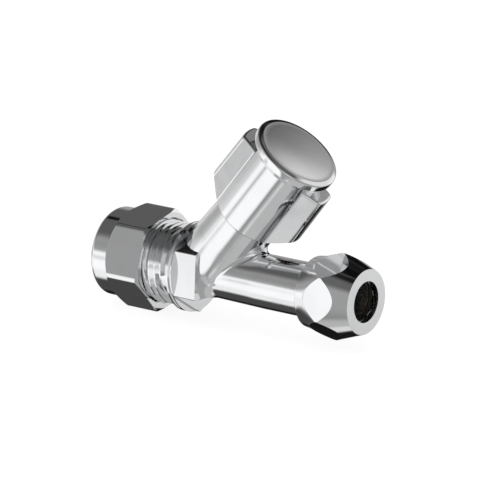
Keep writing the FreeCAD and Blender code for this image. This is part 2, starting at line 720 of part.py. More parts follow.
def plunger():
    """Sliding plunger: hexagon head, piston with a ring groove, neck and cupped valve disc."""
    disc_foot = DISC_TOP_H - DISC_T
    slot = PISTON_BORE_R - 2 * PISTON_RING_R
    middle = (PISTON_FOOT_H + PISTON_TOP_H) / 2
    piston = PISTON_BORE_R - RUN_GAP
    shape = upright([
        (0.0, disc_foot),
        (DISC_R - SKIRT_T, disc_foot),
        (DISC_R - SKIRT_T, disc_foot - SKIRT_LEN),
        (DISC_R, disc_foot - SKIRT_LEN),
        (DISC_R, DISC_TOP_H - EDGE),
        (DISC_R - EDGE, DISC_TOP_H),
        (PLUNGER_NECK_R, DISC_TOP_H),
        (PLUNGER_NECK_R, PISTON_FOOT_H),
        (piston, PISTON_FOOT_H),
        (piston, middle - PISTON_SLOT / 2),
        (slot, middle - PISTON_SLOT / 2),
        (slot, middle + PISTON_SLOT / 2),
        (piston, middle + PISTON_SLOT / 2),
        (piston, PISTON_TOP_H),
        (0.0, PISTON_TOP_H),
    ])
    shape = shape.fuse(hex_post(GUIDE_AF, PISTON_TOP_H, PLUNGER_TOP_H))
    shape = shape.cut(rod(STEM_THREAD_R + RUN_GAP, NUT_HOLE_FOOT_H, PLUNGER_TOP_H))
    hole = rod(WASHER_SCREW_R + RUN_GAP, disc_foot, SCREW_HOLE_TOP_H)
    return on_stem(shape.cut(hole))


def plunger_oring():
    """O-ring round the plunger's piston, which keeps water off the screw thread."""
    middle = (PISTON_FOOT_H + PISTON_TOP_H) / 2
    centre = PISTON_BORE_R - PISTON_RING_R - 0.01
    return on_stem(Part.makeTorus(centre, PISTON_RING_R - 0.01, V(0, 0, middle)))


def seat_washer():
    """Rubber washer in the plunger's cup."""
    top = DISC_TOP_H - DISC_T - SEAT_GAP
    ring = rod(DISC_R - SKIRT_T - RUN_GAP, WASHER_FOOT_H, top)
    return on_stem(ring.cut(rod(WASHER_SCREW_R + RUN_GAP, WASHER_FOOT_H, top)))


def washer_screw():
    """Slotted screw that holds the seat washer."""
    face = WASHER_FOOT_H - SEAT_GAP
    foot = face - WASHER_SCREW_HEAD_T
    shape = upright([
        (0.0, foot),
        (WASHER_SCREW_HEAD_R - EDGE, foot),
        (WASHER_SCREW_HEAD_R, foot + EDGE),
        (WASHER_SCREW_HEAD_R, face),
        (WASHER_SCREW_R, face),
        (WASHER_SCREW_R, WASHER_FOOT_H + WASHER_SCREW_LEN),
        (0.0, WASHER_FOOT_H + WASHER_SCREW_LEN),
    ])
    slot = Part.makeBox(3 * WASHER_SCREW_HEAD_R, SLOT_W, WASHER_SCREW_HEAD_T)
    slot.translate(V(-1.5 * WASHER_SCREW_HEAD_R, -SLOT_W / 2, foot - WASHER_SCREW_HEAD_T / 2))
    return on_stem(shape.cut(slot))


def flank_lean():
    """How far a wing's side closes in for each millimetre outward."""
    return (WING_ROOT_HALF - WING_TIP_HALF) / (WING_TIP_S - WING_ROOT_S)


def wing_outline():
    """Section of one wing at the handle's foot: a fillet from the barrel, then a flat side."""
    lean = flank_lean()
    slope = math.sqrt(1 + lean * lean)
    normal = V(1, lean, 0) / slope
    along = V(-lean, 1, 0) / slope
    out = (WING_ROOT_HALF + lean * WING_ROOT_S) / slope
    reach = BARREL_R + CREASE_R
    run = math.sqrt(reach * reach - (out + CREASE_R) * (out + CREASE_R))
    centre = normal * (out + CREASE_R) + along * run
    on_barrel = centre * (BARREL_R / reach)
    on_flat = normal * out + along * run
    outer = 1.3 * WING_FOOT_R
    tip = WING_ROOT_HALF + lean * (WING_ROOT_S - outer)
    inward = (on_barrel + on_flat) / 2 - centre
    bend = centre + inward * (CREASE_R / inward.Length)
    half = [on_barrel, bend, on_flat, V(tip, outer, 0)]
    lift = V(0, 0, HANDLE_FOOT_H)
    near = [point + lift for point in half]
    far = [V(-point.x, point.y, 0) + lift for point in half]
    sides = [
        Part.Arc(near[0], near[1], near[2]).toShape(),
        Part.makeLine(near[2], near[3]),
        Part.makeLine(near[3], far[3]),
        Part.makeLine(far[3], far[2]),
        Part.Arc(far[2], far[1], far[0]).toShape(),
        Part.makeLine(far[0], near[0]),
    ]
    return Part.Face(Part.Wire(sides))


def wing_hollow():
    """Tapered pocket in one wing, open at the handle's foot."""
    lean = flank_lean()
    inner = WING_ROOT_S - WING_WALL
    outer = WING_HEAD_R - WING_WALL
    pull = WING_WALL * math.sqrt(1 + lean * lean)
    root = WING_ROOT_HALF + lean * (WING_ROOT_S - inner) - pull
    tip = WING_ROOT_HALF + lean * (WING_ROOT_S - outer) - pull
    foot = HANDLE_FOOT_H
    points = [V(root, inner, foot), V(tip, outer, foot), V(-tip, outer, foot), V(-root, inner, foot)]
    face = Part.Face(Part.makePolygon(points + points[:1]))
    return face.extrude(V(0, 0, WING_POCKET_TOP_H - foot))


def wing():
    """One wing of the handle, turned to its flared foot, tapered tip and flat shoulder."""
    height = WING_TOP_H - HANDLE_FOOT_H
    envelope = upright([
        (0.0, HANDLE_FOOT_H),
        (BARREL_R, HANDLE_FOOT_H),
        (WING_FOOT_R, HANDLE_FOOT_H + WING_FLARE_H),
        (WING_HEAD_R, WING_TOP_H),
        (0.0, WING_TOP_H),
    ])
    solid = wing_outline().extrude(V(0, 0, height)).common(envelope)
    corners = []
    for edge in solid.Edges:
        middle = edge.valueAt((edge.FirstParameter + edge.LastParameter) / 2)
        far_out = math.hypot(middle.x, middle.y) > (BARREL_R + WING_HEAD_R) / 2
        if far_out and edge.BoundBox.ZLength > height / 2:
            corners.append(edge)
    solid = solid.makeFillet(WING_ROUND, corners)
    rim = []
    for edge in solid.Edges:
        middle = edge.valueAt((edge.FirstParameter + edge.LastParameter) / 2)
        outside = math.hypot(middle.x, middle.y) > BARREL_R
        if outside and edge.BoundBox.ZMin > WING_TOP_H - BURR:
            rim.append(edge)
    return solid.makeFillet(WING_TOP_ROUND, rim)


def handle():
    """Cast handle: round barrel under the cap, two hollow wings, toothed hub and screw seat."""
    barrel = upright([
        (0.0, HANDLE_FOOT_H),
        (BARREL_R - EDGE, HANDLE_FOOT_H),
        (BARREL_R, HANDLE_FOOT_H + EDGE),
        (BARREL_R, HANDLE_TOP_H - HEAD_T - HEAD_FLARE),
        (HEAD_R, HANDLE_TOP_H - HEAD_T),
        (HEAD_R, HANDLE_TOP_H),
        (0.0, HANDLE_TOP_H),
    ])
    left = wing()
    right = left.copy()
    right.rotate(V(0, 0, 0), UP, 180)
    shape = barrel.fuse([left, right])
    shape = shape.cut(rod(HANDLE_BORE_R, HANDLE_FOOT_H, HANDLE_ROOF_H))
    pocket = wing_hollow()
    far = pocket.copy()
    far.rotate(V(0, 0, 0), UP, 180)
    teeth_top = SPLINE_TOP_H + SPLINE_ROOM
    teeth = splined(HANDLE_ROOF_H, teeth_top, SPINDLE_R + RUN_GAP, SPLINE_DEPTH)
    screw = rod(SCREW_R + SCREW_HOLE_GAP, SPLINE_TOP_H, SCREW_FLOOR_H)
    recess = rod(POCKET_R, SCREW_FLOOR_H, HANDLE_TOP_H)
    for tool in [pocket, far, teeth, screw, recess]:
        shape = shape.cut(tool)
    shape.rotate(V(0, 0, 0), UP, HANDLE_TURN - 90.0)
    return on_stem(shape)


def handle_screw():
    """Slotted screw through the handle's hub into the spindle."""
    top = SCREW_FLOOR_H + SEAT_GAP + SCREW_HEAD_T
    shape = upright([
        (0.0, SCREW_FLOOR_H - SCREW_LEN),
        (SCREW_R, SCREW_FLOOR_H - SCREW_LEN),
        (SCREW_R, SCREW_FLOOR_H + SEAT_GAP),
        (SCREW_HEAD_R, SCREW_FLOOR_H + SEAT_GAP),
        (SCREW_HEAD_R, top - EDGE),
        (SCREW_HEAD_R - EDGE, top),
        (0.0, top),
    ])
    slot = Part.makeBox(3 * SCREW_HEAD_R, SLOT_W, SCREW_HEAD_T)
    slot.translate(V(-1.5 * SCREW_HEAD_R, -SLOT_W / 2, top - SCREW_HEAD_T / 2))
    return on_stem(shape.cut(slot))


def handle_cap():
    """Round cover disc with a rolled edge, pressed into the handle by its spigot."""
    foot = HANDLE_TOP_H + SEAT_GAP
    top = foot + CAP_T
    spigot = POCKET_R - 0.02
    edge = V(CAP_R, 0, top - CAP_ROLL)
    face = V(CAP_FACE_R, 0, top)
    bulge = V(CAP_R - 0.1 * (CAP_R - CAP_FACE_R), 0, top - 0.42 * CAP_ROLL)
    path = [
        V(0, 0, top),
        face,
        edge,
        V(CAP_R, 0, foot + BURR),
        V(CAP_R - BURR, 0, foot),
        V(spigot, 0, foot),
        V(spigot, 0, foot - CAP_SPIGOT),
        V(0, 0, foot - CAP_SPIGOT),
    ]
    sides = [Part.makeLine(a, b) for a, b in zip(path[2:], path[3:] + path[:1])]
    sides.append(Part.makeLine(path[0], path[1]))
    sides.append(Part.Arc(face, bulge, edge).toShape())
    outline = Part.Wire(Part.__sortEdges__(sides))
    return on_stem(Part.Face(outline).revolve(V(0, 0, 0), UP, 360))


def export(shape, name):
    """Writes one piece as parts/NAME.step and prints its check."""
    print(name, shape.isValid(), len(shape.Solids), round(shape.Volume, 2))
    shape.exportStep("parts/" + name + ".step")


def main():
    """Builds and writes every piece."""
    os.makedirs("parts", exist_ok=True)
    export(valve_body(), "valve_body")
    export(inlet_nut(), "inlet_nut")
    export(inlet_olive(), "inlet_olive")
    export(outlet_nut(), "outlet_nut")
    export(outlet_olive(), "outlet_olive")
    export(outlet_thrust_ring(), "outlet_thrust_ring")
    export(headwork_bonnet(), "headwork_bonnet")
    export(bonnet_gasket(), "bonnet_gasket")
    export(spindle(), "spindle")
    export(stem_ring(RING_LOW_H), "spindle_oring_lower")
    export(stem_ring(RING_HIGH_H), "spindle_oring_upper")
    export(spindle_thrust_washer(), "spindle_thrust_washer")
    export(spindle_clip(), "spindle_clip")
    export(plunger(), "plunger")
    export(plunger_oring(), "plunger_oring")
    export(seat_washer(), "seat_washer")
    export(washer_screw(), "washer_screw")
    export(handle(), "handle")
    export(handle_screw(), "handle_screw")
    export(handle_cap(), "handle_cap")


main()
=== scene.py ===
"""Isolating valve with a leaning handle, dressed in chrome on a pale floor.

Metres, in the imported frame: the pipe axis is X with the outlet toward +X, and the stem
leans 38 degrees from upright toward the outlet.
"""

import logging
import math
from collections import defaultdict
from dataclasses import dataclass, field
from enum import Enum
from typing import Optional, Sequence

import bpy
import numpy as np
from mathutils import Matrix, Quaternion, Vector


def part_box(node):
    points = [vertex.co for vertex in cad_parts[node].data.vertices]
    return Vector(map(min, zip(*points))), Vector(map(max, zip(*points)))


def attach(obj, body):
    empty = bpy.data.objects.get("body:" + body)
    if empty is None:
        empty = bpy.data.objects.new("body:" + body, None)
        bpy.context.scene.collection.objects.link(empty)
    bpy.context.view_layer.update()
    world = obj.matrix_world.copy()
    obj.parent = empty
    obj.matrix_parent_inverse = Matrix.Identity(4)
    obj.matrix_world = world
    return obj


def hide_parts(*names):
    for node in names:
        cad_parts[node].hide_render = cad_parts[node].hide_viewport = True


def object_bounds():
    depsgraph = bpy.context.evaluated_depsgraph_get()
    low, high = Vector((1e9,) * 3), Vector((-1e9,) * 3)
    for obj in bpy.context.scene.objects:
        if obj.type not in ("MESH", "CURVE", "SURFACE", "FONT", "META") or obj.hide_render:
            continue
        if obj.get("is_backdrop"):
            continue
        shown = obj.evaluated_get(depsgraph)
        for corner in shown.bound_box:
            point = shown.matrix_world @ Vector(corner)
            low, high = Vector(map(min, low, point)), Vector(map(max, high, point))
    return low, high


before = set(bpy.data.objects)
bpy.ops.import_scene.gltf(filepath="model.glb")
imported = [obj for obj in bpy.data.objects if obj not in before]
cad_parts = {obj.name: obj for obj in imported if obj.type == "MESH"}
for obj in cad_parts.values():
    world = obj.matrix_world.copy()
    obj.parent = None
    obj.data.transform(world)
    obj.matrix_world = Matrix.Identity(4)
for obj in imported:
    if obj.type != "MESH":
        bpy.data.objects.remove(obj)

Triple = tuple[float, float, float]
Socket = bpy.types.NodeSocket

LOG = logging.getLogger("valve")
MM = 0.001
ORIGIN = (0.0, 0.0, 0.0)
PIPE_AXIS = (1.0, 0.0, 0.0)
STEM_FOOT = (0.0075, 0.0, 0.0)
STEM_LEAN = math.radians(38.0)
STEM_UP = (math.sin(STEM_LEAN), 0.0, math.cos(STEM_LEAN))

# Keep divisions by a length off zero: for products of lengths, and for distances in metres
TINY = 1e-18
NO_REACH = 1e-9

# Numbers of the colour sockets on a Mix node, whose names stand for several sockets each
MIX_FACTOR, MIX_LOW, MIX_HIGH, MIX_RESULT = 0, 6, 7, 2

# Socket type of a group's input by how many numbers its default has
SOCKET_KINDS = {1: "NodeSocketFloat", 3: "NodeSocketVector", 4: "NodeSocketColor"}

# Screen grey to light, after the sRGB curve
CURVE_OFFSET = 0.055
CURVE_POWER = 2.4


class Body(Enum):
    """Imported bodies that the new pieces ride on."""

    VALVE = "valve"
    STEM = "stem"
    INLET_RING = "inlet_ring"
    INLET_UNION = "inlet_union"
    OUTLET_RING = "outlet_ring"
    OUTLET_UNION = "outlet_union"


class Slot(Enum):
    """Material slots of the record, passed along with the new pieces but not given to them."""

    CHROME = "chrome"
    SATIN_CHROME = "satin_chrome"
    BRASS = "brass"


class Surface(Enum):
    """How well the normals of one packed face are known."""

    CURVED = 0
    TURNED = 1
    PLAIN = 2


# Node trees


@dataclass
class Tree:
    """A node tree under construction, with short calls to add and join its nodes."""

    tree: bpy.types.NodeTree

    def add(self, kind: str, **settings: object) -> bpy.types.Node:
        """Adds one node.

        Args:
            kind: the node's type name in Blender.
            settings: attributes to set, or inputs by name where the node has no such attribute.

        Returns:
            The new node.
        """
        node = self.tree.nodes.new(kind)
        for name, value in settings.items():
            if hasattr(node, name):
                setattr(node, name, value)
            else:
                node.inputs[name.replace("_", " ")].default_value = value
        return node

    def join(self, source: Socket, target: Socket) -> None:
        """Links one output to one input."""
        self.tree.links.new(source, target)

    def fill(self, sockets: Sequence[Socket], values: Sequence[object]) -> None:
        """Gives each input its value, or the output that feeds it.

        Args:
            sockets: the inputs.
            values: a number, a colour, a vector or an output for each of them.
        """
        for socket, value in zip(sockets, values):
            if isinstance(value, Socket):
                self.join(value, socket)
            else:
                socket.default_value = value

    def math(self, operation: str, *values: object) -> Socket:
        """Adds a math node.

        Args:
            operation: the operation's name in Blender.
            values: numbers, or outputs of other nodes, in the order of the inputs.

        Returns:
            The node's output.
        """
        node = self.add("ShaderNodeMath", operation=operation)
        self.fill(node.inputs, values)
        return node.outputs[0]

    def vector(self, operation: str, output: str, *values: object) -> Socket:
        """Adds a vector math node.

        Args:
            operation: the operation's name in Blender.
            output: the output to give back, Vector or Value.
            values: vectors, or outputs of other nodes, in the order of the inputs.

        Returns:
            The node's named output.
        """
        node = self.add("ShaderNodeVectorMath", operation=operation)
        self.fill(node.inputs, values)
        return node.outputs[output]

    def noise(self, place: Socket, scale: Socket, **settings: float) -> Socket:
        """Adds a noise in space.

        Args:
            place: the position.
            scale: the noise's scale.
            settings: the other inputs by name.

        Returns:
            The noise's value.
        """
        node = self.add("ShaderNodeTexNoise", **settings)
        self.fill((node.inputs["Vector"], node.inputs["Scale"]), (place, scale))
        return node.outputs["Fac"]

    def blend(self, factor: object, low: object, high: object) -> Socket:
        """Adds a colour mix.

        Args:
            factor: number or output that picks between the two.
            low: colour or output at factor 0.
            high: colour or output at factor 1.

        Returns:
            The mixed colour.
        """
        node = self.add("ShaderNodeMix", data_type="RGBA")
        sockets = [node.inputs[number] for number in (MIX_FACTOR, MIX_LOW, MIX_HIGH)]
        self.fill(sockets, (factor, low, high))
        return node.outputs[MIX_RESULT]

    def ramp(self, value: Socket, *limits: object) -> Socket:
        """Adds a smooth map from one range to another.

        Args:
            value: the output to map.
            limits: From Min, From Max, To Min and To Max, as numbers or outputs.

        Returns:
            The mapped value.
        """
        node = self.add("ShaderNodeMapRange", interpolation_type="SMOOTHSTEP")
        self.fill(node.inputs[:5], (value, *limits))
        return node.outputs["Result"]


def group_tree(
    name: str, inputs: dict[str, object], outputs: dict[str, str],
) -> tuple[Tree, dict[str, Socket], dict[str, Socket]]:
    """Makes an empty shader node group with named sockets.

    Args:
        name: the group's name.
        inputs: socket name to its default: a number, three for a vector or four for a colour.
        outputs: socket name to its socket type.

    Returns:
        The tree, its inputs by name and its outputs by name.
    """
    tree = bpy.data.node_groups.new(name, "ShaderNodeTree")
    for label, default in inputs.items():
        size = len(default) if isinstance(default, tuple) else 1
        socket = tree.interface.new_socket(label, in_out="INPUT", socket_type=SOCKET_KINDS[size])
        socket.default_value = default
    for label, kind in outputs.items():
        tree.interface.new_socket(label, in_out="OUTPUT", socket_type=kind)
    entry = tree.nodes.new("NodeGroupInput")
    leave = tree.nodes.new("NodeGroupOutput")
    return Tree(tree), {s.name: s for s in entry.outputs}, {s.name: s for s in leave.inputs}


def place_group(tree: Tree, group: bpy.types.NodeTree, **values: object) -> bpy.types.Node:
    """Places a node group in a tree.

    Args:
        tree: where it goes.
        group: the group.
        values: its inputs by name, with underscores for spaces.

    Returns:
        The group node.
    """
    node = tree.tree.nodes.new("ShaderNodeGroup")
    node.node_tree = group
    for name, value in values.items():
        node.inputs[name.replace("_", " ")].default_value = value
    return node


def grey(level: float) -> tuple[float, float, float, float]:
    """Opaque grey of one level."""
    return (level, level, level, 1.0)


# Finishes


class SurfaceGroups:
    """Effects that several finishes share."""

    SMEAR_LIMITS = (0.45, 0.72)
    DRIFT_LIMITS = (0.35, 0.7)

    def __init__(self) -> None:
        """Builds the shared groups once."""
        self.polish_waves = self._polish_waves()
        self.handling_marks = self._handling_marks()
        self.lathe_lines = self._lathe_lines()
        self.plating_tone = self._plating_tone()

    def _polish_waves(self) -> bpy.types.NodeTree:
        """Soft waves that hand polishing leaves on a cast surface, with a trace of grain.

        Returns:
            The group.
        """
        tree, entry, leave = group_tree(
            "polish_waves",
            {"Vector": ORIGIN, "Wave Scale": 260.0, "Grain Scale": 1800.0, "Grain": 0.05},
            {"Height": "NodeSocketFloat"},
        )
        wave = tree.noise(entry["Vector"], entry["Wave Scale"], Detail=1.0)
        grain = tree.noise(entry["Vector"], entry["Grain Scale"], Detail=2.0)
        fine = tree.math("MULTIPLY", grain, entry["Grain"])
        tree.join(tree.math("ADD", wave, fine), leave["Height"])
        return tree.tree

    def _handling_marks(self) -> bpy.types.NodeTree:
        """Faint smears and dust that raise the roughness here and there.

        Returns:
            The group.
        """
        tree, entry, leave = group_tree(
            "handling_marks",
            {"Vector": ORIGIN, "Clean": 0.04, "Smeared": 0.09, "Scale": 90.0},
            {"Roughness": "NodeSocketFloat"},
        )
        smear = tree.noise(
            entry["Vector"], entry["Scale"], Detail=4.0, Roughness=0.6, Distortion=0.6,
        )
        rough = tree.ramp(smear, *self.SMEAR_LIMITS, entry["Clean"], entry["Smeared"])
        tree.join(rough, leave["Roughness"])
        return tree.tree

    def _lathe_lines(self) -> bpy.types.NodeTree:
        """Fine rings of uneven depth that a lathe tool leaves around an axis.

        Returns:
            The group.
        """
        tree, entry, leave = group_tree(
            "lathe_lines",
            {"Vector": ORIGIN, "Axis": PIPE_AXIS, "Foot": ORIGIN, "Pitch": 0.0002},
            {"Height": "NodeSocketFloat"},
        )
        place = tree.vector("SUBTRACT", "Vector", entry["Vector"], entry["Foot"])
        along = tree.vector("DOT_PRODUCT", "Value", place, entry["Axis"])
        across = tree.vector("CROSS_PRODUCT", "Vector", place, entry["Axis"])
        out = tree.vector("LENGTH", "Value", across)
        ring = tree.math("DIVIDE", tree.math("ADD", along, out), entry["Pitch"])
        uneven = tree.add(
            "ShaderNodeTexNoise", noise_dimensions="1D", Scale=1.0, Detail=3.0, Roughness=0.7,
        )
        tree.join(ring, uneven.inputs["W"])
        tree.join(uneven.outputs["Fac"], leave["Height"])
        return tree.tree

    def _plating_tone(self) -> bpy.types.NodeTree:
        """Slow drift of the plating's tone between two colours.

        Returns:
            The group.
        """
        tree, entry, leave = group_tree(
            "plating_tone",
            {"Vector": ORIGIN, "Bright": grey(0.9), "Dull": grey(0.8), "Scale": 120.0},
            {"Color": "NodeSocketColor"},
        )
        drift = tree.noise(entry["Vector"], entry["Scale"], Detail=3.0, Roughness=0.55)
        share = tree.ramp(drift, *self.DRIFT_LIMITS, 0.0, 1.0)
        tree.join(tree.blend(share, entry["Bright"], entry["Dull"]), leave["Color"])
        return tree.tree


@dataclass(frozen=True)
class Finish:
    """One surface finish: tone, gloss and skin.

    clean and smeared are the roughness without and with handling marks. wave and ring_depth are
    heights in millimetres, and rings is the pitch of the lathe lines around ring_axis.
    """

    name: str
    bright: Triple
    dull: Triple
    metallic: float
    clean: float
    smeared: float
    wave: float = 0.0
    wave_scale: float = 260.0
    rings: float = 0.0
    ring_depth: float = 0.0
    ring_axis: Triple = PIPE_AXIS
    ring_foot: Triple = ORIGIN

    def build(self, groups: SurfaceGroups) -> bpy.types.Material:
        """Makes the material.

        Args:
            groups: the shared effects.

        Returns:
            The material, ready to assign.
        """
        material = bpy.data.materials.new(self.name)
        material.use_nodes = True
        tree = Tree(material.node_tree)
        shader = material.node_tree.nodes["Principled BSDF"]
        shader.inputs["Metallic"].default_value = self.metallic
        place = tree.add("ShaderNodeTexCoord").outputs["Object"]
        tone = place_group(
            tree, groups.plating_tone, Bright=(*self.bright, 1.0), Dull=(*self.dull, 1.0),
        )
        marks = place_group(tree, groups.handling_marks, Clean=self.clean, Smeared=self.smeared)
        for node in (tone, marks):
            tree.join(place, node.inputs["Vector"])
        tree.join(tone.outputs["Color"], shader.inputs["Base Color"])
        gloss = self.gloss(tree, place, marks.outputs["Roughness"])
        tree.join(gloss, shader.inputs["Roughness"])
        self.relief(tree, groups, place, shader.inputs["Normal"])
        return material

    def gloss(self, tree: Tree, place: Socket, marked: Socket) -> Socket:
        """Roughness all over the surface, which a plain finish takes as it is."""
        return marked

    def relief(self, tree: Tree, groups: SurfaceGroups, place: Socket, normal: Socket) -> None:
        """Adds the skin's waves and rings as bumps.

        Args:
            tree: the material's tree.
            groups: the shared effects.
            place: the position on the piece.
            normal: the shader's normal input.
        """
        layers = []
        if self.wave > 0.0:
            waves = place_group(tree, groups.polish_waves, Wave_Scale=self.wave_scale)
            layers.append((waves, self.wave))
        if self.rings > 0.0:
            lines = place_group(
                tree, groups.lathe_lines,
                Axis=self.ring_axis, Foot=self.ring_foot, Pitch=self.rings * MM,
            )
            layers.append((lines, self.ring_depth))
        last: Optional[Socket] = None
        for node, depth in layers:
            tree.join(place, node.inputs["Vector"])
            bump = tree.add("ShaderNodeBump", Strength=1.0, Distance=depth * MM)
            tree.join(node.outputs["Height"], bump.inputs["Height"])
            if last is not None:
                tree.join(last, bump.inputs["Normal"])
            last = bump.outputs["Normal"]
        if last is not None:
            tree.join(last, normal)


@dataclass(frozen=True)
class CapFinish(Finish):
    """Satin on the cap's face, polish on its rolled edge and wall.

    face_r and edge_r are where the satin ends and the polish starts, in millimetres from the
    stem's axis, and polish is the roughness there.
    """

    face_r: float = 9.9
    edge_r: float = 10.05
    polish: float = 0.06

    def gloss(self, tree: Tree, place: Socket, marked: Socket) -> Socket:
        """Goes from satin to polish at the edge of the face.

        Args:
            tree: the material's tree.
            place: the position on the piece.
            marked: the satin's own roughness.

        Returns:
            The roughness.
        """
        arm = tree.vector("SUBTRACT", "Vector", place, STEM_FOOT)
        across = tree.vector("CROSS_PRODUCT", "Vector", arm, STEM_UP)
        out = tree.vector("LENGTH", "Value", across)
        return tree.ramp(out, self.face_r * MM, self.edge_r * MM, marked, self.polish)


class Look(Enum):
    """Finishes of the valve's pieces."""

    CAST = Finish(
        "cast_polished_chrome", bright=(0.87, 0.875, 0.885), dull=(0.84, 0.845, 0.855),
        metallic=1.0, clean=0.09, smeared=0.14, wave=0.02, wave_scale=190.0,
    )
    TURNED = Finish(
        "turned_chrome", bright=(0.88, 0.885, 0.895), dull=(0.85, 0.855, 0.865),
        metallic=1.0, clean=0.05, smeared=0.09, wave=0.004, wave_scale=300.0,
        rings=0.14, ring_depth=0.0008,
    )
    SATIN = CapFinish(
        "satin_cap_chrome", bright=(0.88, 0.882, 0.888), dull=(0.85, 0.852, 0.858),
        metallic=1.0, clean=0.16, smeared=0.2, wave=0.0015, wave_scale=1500.0,
    )
    PLATED = Finish(
        "plated_brass", bright=(0.5, 0.49, 0.47), dull=(0.4, 0.38, 0.34),
        metallic=1.0, clean=0.26, smeared=0.36, rings=0.12, ring_depth=0.0006,
    )
    BRASS = Finish(
        "turned_brass", bright=(0.8, 0.62, 0.3), dull=(0.7, 0.52, 0.24),
        metallic=1.0, clean=0.2, smeared=0.34,
        rings=0.12, ring_depth=0.003, ring_axis=STEM_UP, ring_foot=STEM_FOOT,
    )
    RUBBER = Finish(
        "black_rubber", bright=(0.035, 0.035, 0.035), dull=(0.025, 0.025, 0.025),
        metallic=0.0, clean=0.5, smeared=0.62, wave=0.01, wave_scale=900.0,
    )
    FIBRE = Finish(
        "red_fibre", bright=(0.42, 0.1, 0.06), dull=(0.3, 0.07, 0.04),
        metallic=0.0, clean=0.7, smeared=0.8, wave=0.05, wave_scale=900.0,
    )
    PLASTIC = Finish(
        "white_plastic", bright=(0.82, 0.82, 0.8), dull=(0.78, 0.78, 0.76),
        metallic=0.0, clean=0.3, smeared=0.4, wave=0.006, wave_scale=500.0,
    )
    STEEL = Finish(
        "zinc_steel", bright=(0.64, 0.65, 0.68), dull=(0.52, 0.53, 0.55),
        metallic=1.0, clean=0.22, smeared=0.36,
        rings=0.15, ring_depth=0.002, ring_axis=STEM_UP, ring_foot=STEM_FOOT,
    )


# Studio


def plain_light(shade: float) -> float:
    """Light that chrome has to mirror to show a shade of grey from 0 to 1."""
    linear = ((shade + CURVE_OFFSET) / (1.0 + CURVE_OFFSET)) ** CURVE_POWER
    return linear / Look.CAST.value.bright[0]


@dataclass(frozen=True)
class Card:
    """A soft-edged studio card, placed by its bearing from the object.

    turn is in degrees from +Y toward +X, rise in degrees above the horizon. The half sizes and
    the soft edge are in degrees too, and shade is the grey that chrome shows when it mirrors it.
    """

    turn: float
    rise: float
    half_width: float
    half_height: float
    shade: float
    soft: float


